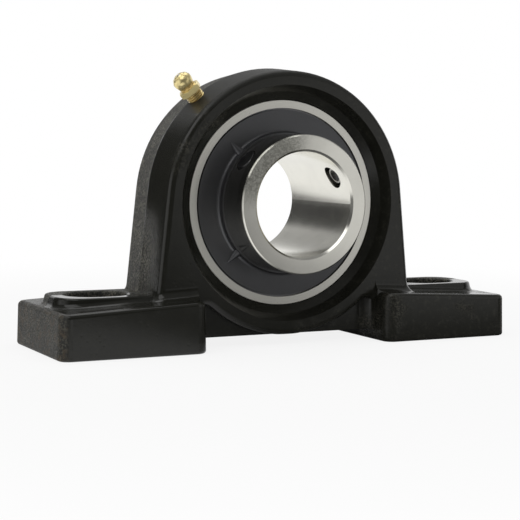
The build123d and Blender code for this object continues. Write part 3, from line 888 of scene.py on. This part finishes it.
def screw_blank(bm, settings, origin, axis):
    """Threaded blank with a hexagonal socket and a cup point."""
    crest, length, top_edge = SCREW_CREST, SCREW_LENGTH, 0.45 * MM
    root = crest - settings.thread_depth
    outline = [
        (root - 0.1 * MM, length),
        (root, length - 0.15 * MM),
        (root, 1.1 * MM),
        (2.85 * MM, 0.08 * MM),
        (2.75 * MM, 0),
        (2.28 * MM, 0),
        (2.20 * MM, 0.05 * MM),
        (1.2 * MM, 0.72 * MM),
        (0, 0.9 * MM),
    ]
    lathe(bm, outline, origin, axis, closed=False, steps=72)
    hex_socket(bm, SCREW_HEX, SCREW_HEX_DEPTH, origin + axis * length, axis)
    start = 1.1 * MM + settings.pitch * 0.46
    end = length - top_edge
    thread_ridge(bm, root, crest - 0.02 * MM, settings.pitch, start, end, origin, axis)


class BEARING_OT_nipple(bpy.types.Operator):
    """Turn and thread the grease nipple, and finish its check ball and spring"""

    bl_idname = "bearing.nipple"
    bl_label = "Grease nipple"

    def execute(self, context):
        settings = context.scene.bearing_nipple
        axis = NIPPLE_AXIS
        near_top = mount("grease_nipple_head")[0]
        top = span("grease_nipple", near_top, axis)[1]
        origin = near_top + axis * (top - NIPPLE_HEIGHT)
        bm = bmesh.new()
        nipple_blank(bm, settings, origin, axis)
        brass = brass_material(settings, origin, axis)
        piece("threaded_grease_nipple", bm, brass, "grease_nipple")
        coat("nipple_ball", plain_steel("check_ball_steel", (0.66, 0.66, 0.67), 0.10))
        coat("nipple_spring", plain_steel("spring_steel", (0.42, 0.42, 0.43), 0.25))
        return {"FINISHED"}


NIPPLE_HEIGHT = 9.6 * MM  # above the casting
NIPPLE_ENGAGED = 3.9 * MM
NIPPLE_THREAD_SHOWN = 2.1 * MM


def nipple_blank(bm, settings, origin, axis):
    """Hollow nipple with its thread, hexagon, neck and head."""
    crest = 3.0 * MM
    root = crest - settings.thread_depth
    in_mm = [
        (3.34, 2.10),
        (4.06, 2.45),
        (4.06, 3.95),
        (3.34, 4.30),
        (2.85, 4.30),
        (2.70, 4.42),
        (2.70, 4.95),
        (2.78, 5.20),
        (3.20, 6.55),
        (3.25, 6.95),
        (3.25, 7.55),
        (3.20, 7.85),
        (2.48, 8.95),
        (2.34, 9.05),
        (1.90, 9.07),
        (1.62, 9.50),
        (1.46, 9.60),
        (0.90, 9.60),
        (0.85, 9.55),
        (0.85, 9.40),
        (1.30, 9.40),
        (1.30, -3.40),
        (0.75, -3.40),
        (0.75, -3.90),
    ]
    outline = [(r * MM, a * MM) for r, a in in_mm]
    outline += [
        (root - 0.3 * MM, -NIPPLE_ENGAGED),
        (root, -NIPPLE_ENGAGED + 0.3 * MM),
        (root, NIPPLE_THREAD_SHOWN),
    ]
    lathe(bm, outline, origin, axis)
    cut_flats(bm, 6, 3.5 * MM, origin, axis)
    start = -NIPPLE_ENGAGED + settings.pitch * 0.6
    end = NIPPLE_THREAD_SHOWN - settings.pitch * 0.4
    thread_ridge(bm, root, crest, settings.pitch, start, end, origin, axis)


CAMERA_PLACE = Vector((-224.72, -436.48, 68.75)) * MM
CAMERA_YAW = radians(-26.864)
CAMERA_PITCH = radians(-4.813)
CAMERA_ROLL = radians(-0.637)


class BEARING_OT_stage(bpy.types.Operator):
    """Set up the camera, the lamps and the floor"""

    bl_idname = "bearing.stage"
    bl_label = "Stage"

    def execute(self, context):
        settings = context.scene.bearing_stage
        place_camera(context.scene, settings)
        light_world(context.scene, settings)
        lay_floor(context.scene, settings)
        hang_lamps(context.scene, settings)
        context.scene.view_settings.view_transform = "Standard"
        return {"FINISHED"}


def place_camera(scene, settings):
    data = bpy.data.cameras.new("camera")
    data.lens = settings.lens
    data.clip_start = 0.01
    data.clip_end = 20
    camera = bpy.data.objects.new("camera", data)
    scene.collection.objects.link(camera)
    look_forward = Matrix.Rotation(pi / 2, 3, "X")
    turn = Matrix.Rotation(CAMERA_YAW, 3, "Z") @ Matrix.Rotation(CAMERA_PITCH, 3, "X")
    turn = turn @ Matrix.Rotation(CAMERA_ROLL, 3, "Y") @ look_forward
    camera.matrix_world = Matrix.Translation(CAMERA_PLACE) @ turn.to_4x4()
    scene.camera = camera


def seen_directly(s):
    """1 for camera, glossy and transmission rays."""
    path = [
        s.node("ShaderNodeLightPath", output=name)
        for name in ("Is Camera Ray", "Is Glossy Ray", "Is Transmission Ray")
    ]
    return (path[0] + path[1] + path[2]).at_most(1.0)


def studio_level(s, x, y, z, settings):
    """How bright the room looks in a direction from the object.

    A white backdrop stands behind, a soft white board to the right of the camera,
    a panel to the left, and the rest of the room is dim.
    """
    bearing = x.bearing_of(y)
    backdrop = s.rise(bearing, radians(-19), radians(-12))
    backdrop = backdrop * s.rise(bearing, radians(110), radians(80))
    backdrop = backdrop * (1.0 - s.rise(z, 0.28, 0.50) * 0.8)
    towards = x * 0.58 + y * -0.78 + z * -0.24
    board = s.rise(towards, 0.885, 0.965) * settings.board
    ceiling = s.rise(z, 0.38, 0.70) * settings.ceiling
    panel = s.rise(-x, 0.80, 0.95) * s.rise(z, 0.45, 0.25) * settings.panel
    return (backdrop + board + panel + ceiling + settings.room).at_most(1.0)


def light_world(scene, settings):
    world = bpy.data.worlds.new("studio")
    scene.world = world
    world.use_nodes = True
    s = Shader(tree=world.node_tree)
    direction = s.node("ShaderNodeTexCoord", output="Generated")
    level = studio_level(s, *s.split(direction), settings)
    camera_ray = s.node("ShaderNodeLightPath", output="Is Camera Ray")
    mirrored = level * (1.0 - camera_ray) + camera_ray
    direct = seen_directly(s)
    strength = mirrored * direct + settings.ambient * (1.0 - direct)
    back = s.node("ShaderNodeBackground", sockets={"Color": strength, "Strength": 1.0})
    end = s.tree.nodes.new("ShaderNodeOutputWorld")
    s.tree.links.new(back.socket, end.inputs["Surface"])


FLOOR_COLOUR = (0.82, 0.82, 0.82, 1.0)


def lay_floor(scene, settings):
    """White floor that keeps the object's shadow and fades into the backdrop."""
    s = Shader("white_floor")
    x, y, _ = s.split(s.place())
    away = (x * x + y * y).root()
    direction = away.at_least(1 * MM)
    level = studio_level(s, x / direction, y / direction, 0.0, settings)
    level = level * s.rise(away - y * 0.5, 0.10, 0.42)
    behind = s.rise(y, 40 * MM, 70 * MM) * s.rise(y + x * 1.3, 145 * MM, 105 * MM)
    behind = behind.at_least(s.rise(y, 60 * MM, 90 * MM) * s.rise(x, -60 * MM, -30 * MM))
    near = s.rise(away, 0.24, 0.14) * s.rise(-x, 0.0, 40 * MM) * s.rise(y, 55 * MM, 30 * MM)
    near = near * settings.near_floor
    level = (level + near + behind + settings.room).at_most(1.0)
    camera_ray = s.node("ShaderNodeLightPath", output="Is Camera Ray")
    colour = level * (1.0 - camera_ray) + camera_ray
    glow = s.node("ShaderNodeEmission", sockets={"Color": colour, "Strength": 1.0})
    diffuse = s.node("ShaderNodeBsdfDiffuse", sockets={"Color": FLOOR_COLOUR})
    factor = seen_directly(s) * (0.86 + s.rise(away, 0.12, 0.35) * 0.14)
    s.node_end(s.node("ShaderNodeMixShader", sockets={0: factor, 1: diffuse, 2: glow}))
    bm = bmesh.new()
    bmesh.ops.create_grid(bm, x_segments=1, y_segments=1, size=3.0)
    mesh = bpy.data.meshes.new("floor")
    bm.to_mesh(mesh)
    bm.free()
    mesh.materials.append(s.material)
    floor = bpy.data.objects.new("floor", mesh)
    scene.collection.objects.link(floor)


LAMPS = {
    "top_left": ((-0.65, -0.35, 1.05), 1.0, 1.0),
    "right_front": ((0.95, -0.85, 0.55), 0.8, 0.35),
    "top_back": ((0.15, 0.45, 1.30), 1.0, 0.9),
}


def hang_lamps(scene, settings):
    """Large soft lamps: place, size and share of the power per square metre."""
    for name, (place, size, share) in LAMPS.items():
        data = bpy.data.lights.new(name, "AREA")
        data.shape = "SQUARE"
        data.size = size
        data.energy = settings.lamp_power * share * size * size
        lamp = bpy.data.objects.new(name, data)
        lamp.location = place
        away = Vector(place) - BEARING_CENTRE
        lamp.rotation_euler = away.to_track_quat("Z", "Y").to_euler()
        scene.collection.objects.link(lamp)


class BEARING_PT_panel(bpy.types.Panel):
    """Sidebar panel with every piece and setting"""

    bl_idname = "BEARING_PT_panel"
    bl_label = "Pillow block bearing"
    bl_space_type = "VIEW_3D"
    bl_region_type = "UI"
    bl_category = "Bearing"

    def draw(self, context):
        layout = self.layout
        for owner, operators in PANEL_ROWS:
            group = getattr(context.scene, owner)
            box = layout.box()
            for name in group.bl_rna.properties.keys():
                if name not in {"rna_type", "name"}:
                    box.prop(group, name)
            for operator in operators:
                box.operator(operator.bl_idname)


STEEL_OPERATORS = (
    BEARING_OT_rings,
    BEARING_OT_rolling,
    BEARING_OT_seals,
    BEARING_OT_flingers,
)
SETTINGS = {
    "bearing_casting": CastingSettings,
    "bearing_steel": SteelSettings,
    "bearing_screw": ScrewSettings,
    "bearing_nipple": NippleSettings,
    "bearing_stage": StageSettings,
}
PANEL_ROWS = (
    ("bearing_casting", (BEARING_OT_casting,)),
    ("bearing_steel", STEEL_OPERATORS),
    ("bearing_screw", (BEARING_OT_set_screws,)),
    ("bearing_nipple", (BEARING_OT_nipple,)),
    ("bearing_stage", (BEARING_OT_stage,)),
)
OPERATORS = [operator for owner, operators in PANEL_ROWS for operator in operators]


def register():
    for cls in (*SETTINGS.values(), *OPERATORS, BEARING_PT_panel):
        bpy.utils.register_class(cls)
    for owner, cls in SETTINGS.items():
        setattr(bpy.types.Scene, owner, PointerProperty(type=cls))


def unregister():
    for owner in SETTINGS:
        delattr(bpy.types.Scene, owner)
    for cls in (BEARING_PT_panel, *reversed(OPERATORS), *SETTINGS.values()):
        bpy.utils.unregister_class(cls)


def main():
    register()
    bpy.ops.bearing.stage()
    bpy.ops.bearing.casting()
    bpy.ops.bearing.rings()
    bpy.ops.bearing.rolling()
    bpy.ops.bearing.seals()
    bpy.ops.bearing.flingers()
    bpy.ops.bearing.set_screws()
    bpy.ops.bearing.nipple()


if __name__ == "__main__":
    main()
